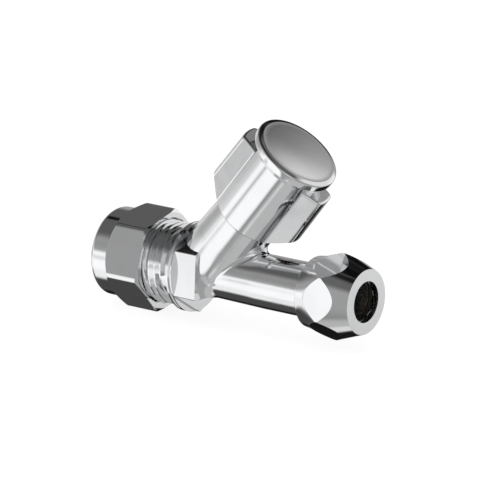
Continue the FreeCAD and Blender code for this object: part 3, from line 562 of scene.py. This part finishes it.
@dataclass
class Studio:
    """Pale floor, camera, world of soft cards and one soft lamp.

    Angles are in degrees and lengths in metres, but for the lens and its sensor in millimetres.
    """

    bearing: float = 36.145
    height: float = 13.401
    roll: float = 1.956
    distance: float = 1.00503
    aim: Triple = (0.01291, 0.0061, 0.00728)
    lens: float = 300.0
    sensor: float = 36.0
    clip_start: float = 0.1
    clip_end: float = 20.0
    floor_size: float = 6.0
    floor_matt: float = 0.2
    floor_glow: float = 0.86
    fill_light: float = 0.9
    lamp_size: float = 0.8
    lamp_power: float = 1.5
    lamp_place: Triple = (-0.5, -0.5, 1.0)
    cards: Sequence[Card] = (
        # Turn, rise, half width, half height, shade, soft. Each card lies over the ones before.
        # The room, from the floor up
        Card(0, 0, 180, 90, 0.60, 5),
        Card(0, -75, 180, 28, 0.70, 8),
        Card(-100, -84, 60, 8, 0.84, 5),
        Card(0, 62, 180, 26, 0.36, 9),
        Card(-68, 44, 64, 21, 0.34, 8),
        Card(-158, 28, 18, 14, 0.52, 8),
        # The light card whose near edge runs over the cap's face
        Card(34, 24, 26, 20, 0.85, 3.5),
        # The black ones in the cap's roll and the black ceiling
        Card(-17, 24, 11, 16, 0.05, 5),
        Card(-16, 54, 16, 16, 0.08, 8),
        Card(0, 90, 180, 25, 0.04, 7),
        # The white ones on barrel, boss, tube and cones, with the grey between two of them
        Card(18, 6, 10, 18, 0.93, 5),
        Card(38, -8, 16, 8, 0.84, 4),
        Card(-84, 1, 42, 6, 0.82, 4),
        Card(-148, -19, 30, 22, 0.98, 5),
        Card(-125, -42, 9, 12, 0.92, 5),
        Card(-104, -19, 26, 9, 0.93, 5),
        Card(-138.5, -9, 3, 3, 0.36, 7),
        # The dark ones under the tube and in the low flats
        Card(-60, -50, 52, 18, 0.26, 5),
        Card(-14, -50, 42, 25, 0.08, 7),
        # Small ones for the end ring, the right wing's flank and the block's upper facet
        Card(134, 4, 10, 24, 0.86, 5),
        Card(168, -51, 5, 3, 0.82, 3),
        Card(-75, 53, 7, 4, 0.05, 3),
    )

    def build(self) -> None:
        """Makes the whole studio."""
        bpy.context.scene.view_settings.view_transform = "Standard"
        self._camera()
        self._world()
        self._floor()
        self._lamp()

    def _camera(self) -> None:
        """Camera at the photograph's viewing angle."""
        turn, rise = math.radians(self.bearing), math.radians(self.height)
        level = math.cos(rise)
        ahead = Vector((-math.sin(turn) * level, math.cos(turn) * level, -math.sin(rise)))
        camera = bpy.data.objects.new("camera", bpy.data.cameras.new("camera"))
        bpy.context.scene.collection.objects.link(camera)
        camera.location = Vector(self.aim) - ahead * self.distance
        camera.rotation_mode = "QUATERNION"
        tilt = Quaternion((0.0, 0.0, 1.0), math.radians(self.roll))
        camera.rotation_quaternion = ahead.to_track_quat("-Z", "Y") @ tilt
        camera.data.lens = self.lens
        camera.data.sensor_width = self.sensor
        camera.data.clip_start = self.clip_start
        camera.data.clip_end = self.clip_end
        bpy.context.scene.camera = camera

    def _card_group(self) -> bpy.types.NodeTree:
        """Group that lays one soft-edged card over what is behind it.

        Returns:
            The group.
        """
        tree, entry, leave = group_tree(
            "studio_card",
            {
                "Behind": grey(0.0),
                "Direction": (0.0, 0.0, 1.0),
                "Turn": 0.0,
                "Rise": 0.0,
                "Half Width": 0.5,
                "Half Height": 0.5,
                "Soft": 0.1,
                "Shade": 1.0,
            },
            {"Color": "NodeSocketColor"},
        )
        swing = tree.add("ShaderNodeVectorRotate", rotation_type="Z_AXIS")
        tree.join(entry["Direction"], swing.inputs["Vector"])
        tree.join(entry["Turn"], swing.inputs["Angle"])
        parts = tree.add("ShaderNodeSeparateXYZ")
        tree.join(swing.outputs["Vector"], parts.inputs["Vector"])
        across = tree.math("ARCTAN2", parts.outputs["X"], parts.outputs["Y"])
        up = tree.math("SUBTRACT", tree.math("ARCSINE", parts.outputs["Z"]), entry["Rise"])
        masks = []
        for angle, half in ((across, entry["Half Width"]), (up, entry["Half Height"])):
            outer = tree.math("ADD", half, entry["Soft"])
            inner = tree.math("SUBTRACT", half, entry["Soft"])
            masks.append(tree.ramp(tree.math("ABSOLUTE", angle), outer, inner, 0.0, 1.0))
        shade = tree.add("ShaderNodeCombineColor")
        for channel in ("Red", "Green", "Blue"):
            tree.join(entry["Shade"], shade.inputs[channel])
        mask = tree.math("MULTIPLY", *masks)
        tree.join(tree.blend(mask, entry["Behind"], shade.outputs["Color"]), leave["Color"])
        return tree.tree

    def _world(self) -> None:
        """White behind the object, and soft cards where metal mirrors the room."""
        world = bpy.data.worlds.new("studio")
        bpy.context.scene.world = world
        world.use_nodes = True
        tree = Tree(world.node_tree)
        background = world.node_tree.nodes["Background"]
        group = self._card_group()
        direction = tree.add("ShaderNodeTexCoord").outputs["Generated"]
        room: Optional[Socket] = None
        for card in self.cards:
            node = place_group(
                tree, group,
                Turn=math.radians(card.turn),
                Rise=math.radians(card.rise),
                Half_Width=math.radians(card.half_width),
                Half_Height=math.radians(card.half_height),
                Soft=math.radians(card.soft),
                Shade=plain_light(card.shade),
            )
            tree.join(direction, node.inputs["Direction"])
            if room is not None:
                tree.join(room, node.inputs["Behind"])
            room = node.outputs["Color"]
        rays = tree.add("ShaderNodeLightPath")
        lit = tree.blend(rays.outputs["Is Glossy Ray"], grey(self.fill_light), room)
        seen = tree.blend(rays.outputs["Is Camera Ray"], lit, grey(1.0))
        tree.join(seen, background.inputs["Color"])

    def _floor(self) -> None:
        """White floor that keeps a faint shadow and lets mirrored rays through to the room."""
        deselect()
        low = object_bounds()[0].z
        bpy.ops.mesh.primitive_plane_add(size=self.floor_size, location=(0.0, 0.0, low))
        floor = bpy.context.object
        floor.name = "studio_floor"
        material = bpy.data.materials.new("studio_floor")
        material.use_nodes = True
        nodes = material.node_tree.nodes
        nodes.remove(nodes["Principled BSDF"])
        tree = Tree(material.node_tree)
        matt = tree.add("ShaderNodeBsdfDiffuse", Color=grey(self.floor_matt))
        glow = tree.add("ShaderNodeEmission", Strength=self.floor_glow)
        rays = tree.add("ShaderNodeLightPath")
        pale = tree.add("ShaderNodeAddShader")
        tree.fill(pale.inputs, (matt.outputs[0], glow.outputs[0]))
        clear = tree.add("ShaderNodeBsdfTransparent")
        pick = tree.add("ShaderNodeMixShader")
        mirrored = rays.outputs["Is Glossy Ray"]
        tree.fill(pick.inputs, (mirrored, pale.outputs[0], clear.outputs[0]))
        tree.join(pick.outputs[0], nodes["Material Output"].inputs["Surface"])
        floor.data.materials.append(material)
        floor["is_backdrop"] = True

    def _lamp(self) -> None:
        """One large soft lamp, high on the left, for the shadow on the floor."""
        lamp = bpy.data.lights.new("soft_lamp", "AREA")
        lamp.size = self.lamp_size
        lamp.energy = self.lamp_power
        holder = bpy.data.objects.new("soft_lamp", lamp)
        bpy.context.scene.collection.objects.link(holder)
        holder.location = self.lamp_place
        holder.rotation_mode = "QUATERNION"
        holder.rotation_quaternion = (-holder.location).to_track_quat("-Z", "Y")
        holder.visible_glossy = False


# Modelling helpers


def deselect() -> None:
    """Leaves object mode ready, with nothing selected."""
    if bpy.context.object and bpy.context.object.mode != "OBJECT":
        bpy.ops.object.mode_set(mode="OBJECT")
    bpy.ops.object.select_all(action="DESELECT")


def make_active(piece: bpy.types.Object) -> None:
    """Selects one object alone and makes it active.

    Args:
        piece: the object.
    """
    deselect()
    piece.select_set(True)
    bpy.context.view_layer.objects.active = piece


def unit_rows(rows: np.ndarray, floor: float = TINY) -> np.ndarray:
    """Rows brought to length one, or left short where they are shorter than the floor."""
    return rows / np.maximum(np.linalg.norm(rows, axis=1), floor)[:, None]


@dataclass
class TrueNormals:
    """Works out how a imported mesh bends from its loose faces, for clean mirror images.

    Each packed face is an island of triangles. Islands that are plane, or turned around the
    pipe or the stem, get their exact normals, and the others join them where they meet. The
    slacks are cosines, the angle is in degrees and the lengths are in millimetres.
    """

    mesh: bpy.types.Mesh
    axes: Sequence[tuple[Vector, Vector]] = (
        (Vector(ORIGIN), Vector(PIPE_AXIS)),
        (Vector(STEM_FOOT), Vector(STEM_UP)),
    )
    plane_slack: float = 1e-5
    turned_slack: float = 0.07
    straight_slack: float = 0.004
    join_angle: float = 17.0
    sliver: float = 1e-4
    axis_gap: float = 0.2
    meeting_grid: float = 0.0005

    def __post_init__(self) -> None:
        """Reads the mesh into arrays with one row for each triangle."""
        points = np.empty(len(self.mesh.vertices) * 3)
        self.mesh.vertices.foreach_get("co", points)
        rows = np.empty(len(self.mesh.loops), dtype=int)
        self.mesh.loops.foreach_get("vertex_index", rows)
        self.rows = rows.reshape(-1, 3)
        self.places = points.reshape(-1, 3)[self.rows]
        first, second, third = (self.places[:, corner] for corner in range(3))
        self.across = np.cross(second - first, third - first)
        self.size = np.maximum(np.linalg.norm(self.across, axis=1), TINY)
        self.outward = self.across / self.size[:, None]
        self.normals = np.empty((len(self.rows), 3, 3))
        self.kinds = np.zeros(len(self.rows), dtype=int)
        self.islands = self._islands()

    def corners(self) -> tuple[np.ndarray, np.ndarray]:
        """Finds every corner's place and normal.

        Returns:
            Two arrays, of places and of normals, with a row of three corners for each triangle.
        """
        for island in np.unique(self.islands):
            faces = np.flatnonzero(self.islands == island)
            self.kinds[faces] = self._island_normals(faces).value
        self._join()
        return self.places, self.normals

    def _islands(self) -> np.ndarray:
        """Tells the islands apart.

        Returns:
            The number of each triangle's island.
        """
        owner = np.arange(len(self.mesh.vertices))
        while True:
            low = owner[self.rows].min(axis=1)
            new = owner.copy()
            for corner in range(3):
                np.minimum.at(new, self.rows[:, corner], low)
            new = new[new]
            if np.array_equal(new, owner):
                return owner[self.rows[:, 0]]
            owner = new

    def _island_normals(self, faces: np.ndarray) -> Surface:
        """Fills in one island's corner normals.

        Args:
            faces: the island's triangles.

        Returns:
            How well the island's normals are known.
        """
        mean = self.across[faces].sum(axis=0)
        mean /= max(np.linalg.norm(mean), TINY)
        big = self.size[faces] > self.size[faces].max() * self.sliver
        if (self.outward[faces][big] @ mean).min() > 1.0 - self.plane_slack:
            self.normals[faces] = mean
            return Surface.PLAIN
        points, local = np.unique(self.rows[faces], return_inverse=True)
        local = local.reshape(-1, 3)
        smooth = self._smooth(faces, local, len(points))
        kind = Surface.CURVED
        for foot, axis in ((np.array(foot), np.array(axis)) for foot, axis in self.axes):
            turned = self._turned(faces, big, foot, axis)
            if turned is None:
                continue
            kind = turned
            corner_points = np.empty((len(points), 3))
            corner_points[local.ravel()] = self.places[faces].reshape(-1, 3)
            turn = unit_rows(np.cross(axis, corner_points - foot), NO_REACH)
            smooth -= turn * (smooth * turn).sum(axis=1)[:, None]
            break
        self.normals[faces] = unit_rows(smooth)[local]
        return kind

    def _smooth(self, faces: np.ndarray, local: np.ndarray, count: int) -> np.ndarray:
        """Sums the triangles' normals at an island's points, by the angle of each corner.

        Args:
            faces: the island's triangles.
            local: the island's own numbers of their points.
            count: how many points the island has.

        Returns:
            One row for each point, not yet brought to length one.
        """
        smooth = np.zeros((count, 3))
        places = self.places[faces]
        for corner in range(3):
            one = places[:, (corner + 1) % 3] - places[:, corner]
            two = places[:, (corner + 2) % 3] - places[:, corner]
            length = np.linalg.norm(one, axis=1) * np.linalg.norm(two, axis=1)
            cosine = (one * two).sum(axis=1) / np.maximum(length, TINY)
            angle = np.arccos(np.clip(cosine, -1.0, 1.0))
            np.add.at(smooth, local[:, corner], self.outward[faces] * angle[:, None])
        return smooth

    def _turned(
        self, faces: np.ndarray, big: np.ndarray, foot: np.ndarray, axis: np.ndarray,
    ) -> Optional[Surface]:
        """Tests whether an island is turned around an axis.

        Args:
            faces: the island's triangles.
            big: which of them are large enough for their normals to count.
            foot: a point of the axis.
            axis: its direction.

        Returns:
            PLAIN for a cylinder, a cone or a disc, TURNED for another turned form, else None.
        """
        around = np.cross(axis, self.places[faces].mean(axis=1) - foot)
        reach = np.linalg.norm(around, axis=1)
        far = big & (reach > self.axis_gap * MM)
        if not far.any():
            return None
        around /= np.maximum(reach, NO_REACH)[:, None]
        if np.abs((self.outward[faces] * around).sum(axis=1))[far].max() > self.turned_slack:
            return None
        slope = (self.outward[faces] @ axis)[far]
        straight = slope.max() - slope.min() < self.straight_slack
        return Surface.PLAIN if straight else Surface.TURNED

    def _join(self) -> None:
        """Makes the normals agree where islands run smoothly into each other."""
        limit = math.cos(math.radians(self.join_angle))
        keys = np.round(self.places / (self.meeting_grid * MM)).astype(np.int64).reshape(-1, 3)
        flat = self.normals.reshape(-1, 3)
        meeting: dict[tuple, dict[int, list[int]]] = defaultdict(lambda: defaultdict(list))
        for corner, key in enumerate(map(tuple, keys)):
            meeting[key][int(self.islands[corner // 3])].append(corner)
        for here in meeting.values():
            if len(here) < 2:
                continue
            known = [
                (group, flat[group[0]].copy(), self.kinds[group[0] // 3])
                for group in here.values()
            ]
            for group, normal, kind in known:
                if kind == Surface.PLAIN.value:
                    continue
                near = [(other, k) for _, other, k in known if other @ normal > limit]
                best = max(k for _, k in near)
                agreed = sum(other for other, k in near if k == best)
                flat[group] = agreed / np.linalg.norm(agreed)


@dataclass
class PolishedCopy:
    """Copy of a CAD node with its loose faces joined and clean normals. Lengths are in metres."""

    node: str
    merge: float = 1e-7
    face_grid: float = 2e-6

    def build(self) -> bpy.types.Object:
        """Makes the copy.

        Returns:
            The new piece, named after the node.
        """
        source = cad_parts[self.node]
        piece = bpy.data.objects.new(self.node + "_finished", source.data.copy())
        piece.data.materials.clear()
        bpy.context.scene.collection.objects.link(piece)
        make_active(piece)
        bpy.ops.object.mode_set(mode="EDIT")
        bpy.ops.mesh.select_all(action="SELECT")
        bpy.ops.mesh.remove_doubles(threshold=self.merge)
        bpy.ops.object.mode_set(mode="OBJECT")
        bpy.ops.mesh.customdata_custom_splitnormals_clear()
        mesh = piece.data
        mesh.polygons.foreach_set("use_smooth", [True] * len(mesh.polygons))
        mesh.edges.foreach_set("use_edge_sharp", [False] * len(mesh.edges))
        places, normals = TrueNormals(source.data).corners()
        mesh.normals_split_custom_set(self._corner_normals(mesh, places, normals))
        return piece

    def _corner_normals(
        self, mesh: bpy.types.Mesh, places: np.ndarray, normals: np.ndarray,
    ) -> list[Vector]:
        """Finds the true normal of each corner of the joined mesh.

        Args:
            mesh: the joined mesh.
            places: the corners of each loose face.
            normals: their normals.

        Returns:
            One vector for each corner, of length zero where Blender is to work it out.
        """
        same = len(mesh.polygons) == len(places)
        middles = {self._key(middle): row for row, middle in enumerate(places.mean(axis=1))}
        wanted = [Vector(ORIGIN)] * len(mesh.loops)
        for face in mesh.polygons:
            row = face.index if same else middles.get(self._key(np.array(face.center)))
            if row is None:
                continue
            for loop in face.loop_indices:
                place = np.array(mesh.vertices[mesh.loops[loop].vertex_index].co)
                corner = int(np.abs(places[row] - place).sum(axis=1).argmin())
                wanted[loop] = Vector(normals[row, corner])
        return wanted

    def _key(self, middle: np.ndarray) -> tuple[int, ...]:
        """Place of a face's middle on the grid that tells faces apart."""
        return tuple(np.round(middle / self.face_grid).astype(int))


@dataclass
class Workshop:
    """Dresses finished pieces and hangs them on their bodies."""

    materials: dict[Look, bpy.types.Material]

    def dress(self, node: str, look: Look) -> None:
        """Gives a CAD node that keeps its mesh its finish.

        Args:
            node: the node's name.
            look: its finish.
        """
        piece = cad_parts[node]
        piece.data.materials.clear()
        piece.data.materials.append(self.materials[look])
        LOG.info("%s: CAD mesh, %s", node, look.value.name)

    def polish(self, node: str, look: Look, slot: Slot, body: Body) -> None:
        """Replaces a CAD node by its polished copy."""
        self.deliver(PolishedCopy(node).build(), look, slot, body, node)

    def deliver(
        self, piece: bpy.types.Object, look: Look, slot: Slot, body: Body, *nodes: str,
    ) -> None:
        """Gives a piece its finish and its body, and hides the nodes that it stands for.

        Args:
            piece: the finished piece.
            look: its finish.
            slot: its material slot in the record; not used.
            body: the body it rides on.
            nodes: the CAD nodes that it replaces.
        """
        piece.data.materials.clear()
        piece.data.materials.append(self.materials[look])
        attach(piece, body.value)
        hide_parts(*nodes)
        faces = len(piece.data.polygons)
        LOG.info("%s: %d faces, %s, rides on %s", piece.name, faces, look.value.name, body.value)


# Turned pieces


@dataclass
class Lathe:
    """Draws a turned piece out of one ring, ring by ring, and cuts flats on it.

    foot and axis place the piece. Radii and heights on the axis are in millimetres.
    """

    foot: Vector
    axis: Vector
    steps: int = 144
    pole_r: float = 0.4
    merge: float = 0.001
    round_steps: int = 3
    area_weight: int = 100

    def turn(
        self, name: str, profile: Sequence[tuple[float, float]], hollow: bool,
    ) -> bpy.types.Object:
        """Turns a closed piece.

        Args:
            name: the piece's name.
            profile: radius and height of each ring, from one end to the other.
            hollow: whether the last ring runs back into the first, around a bore.

        Returns:
            The piece, with its place in its mesh.
        """
        rings = list(profile) + [profile[0]] if hollow else list(profile)
        deselect()
        radius, height = rings[0]
        bpy.ops.mesh.primitive_circle_add(
            vertices=self.steps, radius=max(radius, self.pole_r) * MM, fill_type="NOTHING",
            location=self._centre(height), rotation=self.axis.to_track_quat("Z", "Y").to_euler(),
        )
        piece = bpy.context.object
        piece.name = name
        bpy.ops.object.transform_apply(location=True, rotation=True, scale=True)
        bpy.ops.object.mode_set(mode="EDIT")
        bpy.ops.mesh.select_all(action="SELECT")
        if not hollow:
            bpy.ops.mesh.edge_face_add()
            self._keep_edges()
        for (old_r, old_h), (new_r, new_h) in zip(rings[:-1], rings[1:]):
            step = self.axis * ((new_h - old_h) * MM)
            scale = max(new_r, self.pole_r) / max(old_r, self.pole_r)
            bpy.ops.mesh.extrude_edges_move(TRANSFORM_OT_translate={"value": step})
            bpy.ops.transform.resize(
                value=(scale, scale, scale), center_override=self._centre(new_h),
            )
        if not hollow:
            bpy.ops.mesh.edge_face_add()
        bpy.ops.mesh.select_all(action="SELECT")
        bpy.ops.mesh.remove_doubles(threshold=self.merge * MM)
        bpy.ops.mesh.normals_make_consistent(inside=False)
        bpy.ops.object.mode_set(mode="OBJECT")
        return piece

    def _centre(self, height: float) -> Vector:
        """Point of the axis at a height in millimetres."""
        return self.foot + self.axis * (height * MM)

    def _keep_edges(self) -> None:
        """Leaves the end face's ring selected as edges, so that only the ring is drawn out."""
        bpy.ops.mesh.select_mode(type="FACE")
        bpy.ops.mesh.select_mode(type="EDGE")

    def cut_flats(self, piece: bpy.types.Object, distance: float, first: float, count: int) -> None:
        """Cuts flats along the pipe's axis.

        Args:
            piece: the piece to cut.
            distance: from the axis to a flat, in millimetres.
            first: angle of the first flat from +Y toward +Z, in degrees.
            count: number of flats.
        """
        make_active(piece)
        bpy.ops.object.mode_set(mode="EDIT")
        for flat in range(count):
            angle = math.radians(first) + 2.0 * math.pi * flat / count
            out = Vector((0.0, math.cos(angle), math.sin(angle)))
            bpy.ops.mesh.select_all(action="SELECT")
            bpy.ops.mesh.bisect(
                plane_co=self.foot + out * (distance * MM), plane_no=out,
                use_fill=True, clear_outer=True,
            )
        bpy.ops.mesh.select_all(action="SELECT")
        bpy.ops.mesh.remove_doubles(threshold=self.merge * MM)
        bpy.ops.object.mode_set(mode="OBJECT")

    def soften(self, piece: bpy.types.Object, width: float, angle: float, smooth: float) -> None:
        """Breaks the sharp edges with a small round.

        Args:
            piece: the piece.
            width: of the round, in millimetres.
            angle: edges that bend by more than this many degrees are rounded.
            smooth: faces that meet at less than this many degrees are shaded as one.
        """
        make_active(piece)
        bevel = piece.modifiers.new("edge_round", "BEVEL")
        bevel.width = width * MM
        bevel.segments = self.round_steps
        bevel.limit_method = "ANGLE"
        bevel.angle_limit = math.radians(angle)
        bpy.ops.object.modifier_apply(modifier=bevel.name)
        bpy.ops.object.shade_smooth_by_angle(angle=math.radians(smooth), keep_sharp_edges=False)
        even = piece.modifiers.new("even_shading", "WEIGHTED_NORMAL")
        even.mode = "FACE_AREA"
        even.weight = self.area_weight
        even.keep_sharp = True
        bpy.ops.object.modifier_apply(modifier=even.name)


# Sub-assemblies


@dataclass
class ValveBody:
    """Cast body with its inlet thread, block, leaning boss and outlet tube."""

    shop: Workshop

    def build(self) -> None:
        """Makes the body."""
        self.shop.polish("valve_body", Look.CAST, Slot.CHROME, Body.VALVE)


@dataclass
class InletUnion:
    """Union nut and compression ring on the supply side."""

    shop: Workshop

    def build(self) -> None:
        """Makes the nut and its ring."""
        self.shop.polish("inlet_nut", Look.TURNED, Slot.CHROME, Body.INLET_UNION)
        self.shop.polish("inlet_olive", Look.PLATED, Slot.BRASS, Body.INLET_RING)


@dataclass
class OutletUnion:
    """Union nut, compression ring and thrust ring on the outlet side.

    Sizes are in millimetres and angles in degrees. first_corner is the angle of one of the
    hexagon's corners from +Y toward +Z.
    """

    shop: Workshop
    flats: int = 6
    across_flats: float = 19.0
    first_corner: float = 25.0
    face_r: float = 8.19
    crown_r: float = 10.92
    crown: float = 7.6
    crest: float = 0.7
    rear_r: float = 9.0
    rear_edge: float = 0.3
    waist_r: float = 9.35
    waist: float = 2.7
    thread_r: float = 8.381
    thread_deep: float = 9.8
    ring_r: float = 7.25
    ring_play: float = 0.15
    pipe_r: float = 5.2
    mouth: float = 0.05
    edge_round: float = 0.22
    round_above: float = 14.0
    smooth_below: float = 40.0

    def build(self) -> None:
        """Makes the nut and the two rings."""
        self.shop.deliver(self._nut(), Look.TURNED, Slot.CHROME, Body.OUTLET_UNION, "outlet_nut")
        for node in ("outlet_olive", "outlet_thrust_ring"):
            self.shop.polish(node, Look.PLATED, Slot.BRASS, Body.OUTLET_RING)

    def _nut(self) -> bpy.types.Object:
        """Two long cones cut by six flats, with thread and bore inside.

        Returns:
            The nut.
        """
        rear, front = (corner.x / MM for corner in map(Vector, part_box("outlet_nut")))
        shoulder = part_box("outlet_thrust_ring")[1][0] / MM + self.ring_play
        deep = rear + self.thread_deep
        crown = front - self.crown
        lathe = Lathe(Vector(ORIGIN), Vector(PIPE_AXIS))
        nut = lathe.turn("outlet_nut_finished", [
            (self.thread_r + self.mouth, rear),
            (self.rear_r - self.rear_edge, rear),
            (self.rear_r, rear + self.rear_edge),
            (self.waist_r, rear + self.waist),
            (self.crown_r, crown - self.crest),
            (self.crown_r, crown),
            (self.face_r, front),
            (self.pipe_r, front),
            (self.pipe_r, shoulder),
            (self.ring_r, shoulder),
            (self.ring_r, deep + self.thread_r - self.ring_r),
            (self.thread_r, deep),
            (self.thread_r, rear + self.mouth),
        ], hollow=True)
        first_flat = self.first_corner + 180.0 / self.flats
        lathe.cut_flats(nut, self.across_flats / 2.0, first_flat, self.flats)
        lathe.soften(nut, self.edge_round, self.round_above, self.smooth_below)
        return nut


@dataclass
class Headwork:
    """Bonnet with its gasket, and what turns and slides in it."""

    shop: Workshop
    looks: dict[str, Look] = field(default_factory=lambda: {
        "headwork_bonnet": Look.BRASS,
        "bonnet_gasket": Look.FIBRE,
        "spindle": Look.BRASS,
        "spindle_oring_lower": Look.RUBBER,
        "spindle_oring_upper": Look.RUBBER,
        "spindle_thrust_washer": Look.PLASTIC,
        "spindle_clip": Look.STEEL,
        "plunger": Look.BRASS,
        "plunger_oring": Look.RUBBER,
        "seat_washer": Look.RUBBER,
        "washer_screw": Look.STEEL,
    })

    def build(self) -> None:
        """Dresses the pieces inside the valve."""
        for node, look in self.looks.items():
            self.shop.dress(node, look)


@dataclass
class Handle:
    """Two-winged handle, its screw and its cover cap.

    Sizes are in millimetres and the angle in degrees. crown is how far the face falls from its
    middle to face_r, raised is how far its middle stands above the CAD cap, and rim holds radius
    and drop from the middle along the roll.
    """

    shop: Workshop
    cap_r: float = 11.3
    cap_t: float = 2.15
    spigot_r: float = 3.48
    spigot: float = 1.4
    burr: float = 0.05
    crown: float = 0.34
    raised: float = 0.14
    face_r: float = 10.0
    face_rings: int = 8
    rim: Sequence[tuple[float, float]] = (
        (10.07, 0.335), (10.14, 0.35), (10.3, 0.383), (10.5, 0.43), (10.7, 0.483), (10.85, 0.527),
        (11.0, 0.575), (11.1, 0.62), (11.18, 0.69), (11.24, 0.78), (11.28, 0.9), (11.3, 1.05),
    )
    smooth_below: float = 24.0

    def build(self) -> None:
        """Makes the handle, the screw and the cap."""
        self.shop.polish("handle", Look.CAST, Slot.CHROME, Body.STEM)
        self.shop.dress("handle_screw", Look.STEEL)
        self.shop.deliver(self._cap(), Look.SATIN, Slot.SATIN_CHROME, Body.STEM, "handle_cap")

    def _cap(self) -> bpy.types.Object:
        """Slightly crowned disc with a fine lip and a rolled edge, on its spigot.

        Returns:
            The cap.
        """
        cad_top = self._cad_top()
        top = cad_top + self.raised
        under = cad_top - self.cap_t
        profile = []
        for ring in range(self.face_rings + 1):
            radius = self.face_r * ring / self.face_rings
            profile.append((radius, top - self.crown * (radius / self.face_r) ** 2))
        profile += [(radius, top - drop) for radius, drop in self.rim]
        profile += [
            (self.cap_r, under + self.burr),
            (self.cap_r - self.burr, under),
            (self.spigot_r, under),
            (self.spigot_r, under - self.spigot),
            (0.0, under - self.spigot),
        ]
        lathe = Lathe(Vector(STEM_FOOT), Vector(STEM_UP))
        cap = lathe.turn("handle_cap_finished", profile, hollow=False)
        make_active(cap)
        bpy.ops.object.shade_smooth_by_angle(
            angle=math.radians(self.smooth_below), keep_sharp_edges=False,
        )
        return cap

    def _cad_top(self) -> float:
        """Finds the highest point of the CAD cap along the stem.

        Returns:
            Its height on the stem's axis, in millimetres.
        """
        foot, up = Vector(STEM_FOOT), Vector(STEM_UP)
        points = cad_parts["handle_cap"].data.vertices
        return max((point.co - foot).dot(up) for point in points) / MM


def main() -> None:
    """Builds every piece and the studio."""
    logging.basicConfig(level=logging.INFO, format="%(message)s")
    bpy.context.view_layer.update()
    groups = SurfaceGroups()
    shop = Workshop({look: look.value.build(groups) for look in Look})
    for assembly in (ValveBody, InletUnion, OutletUnion, Headwork, Handle):
        assembly(shop).build()
    Studio().build()


if __name__ == "__main__":
    main()
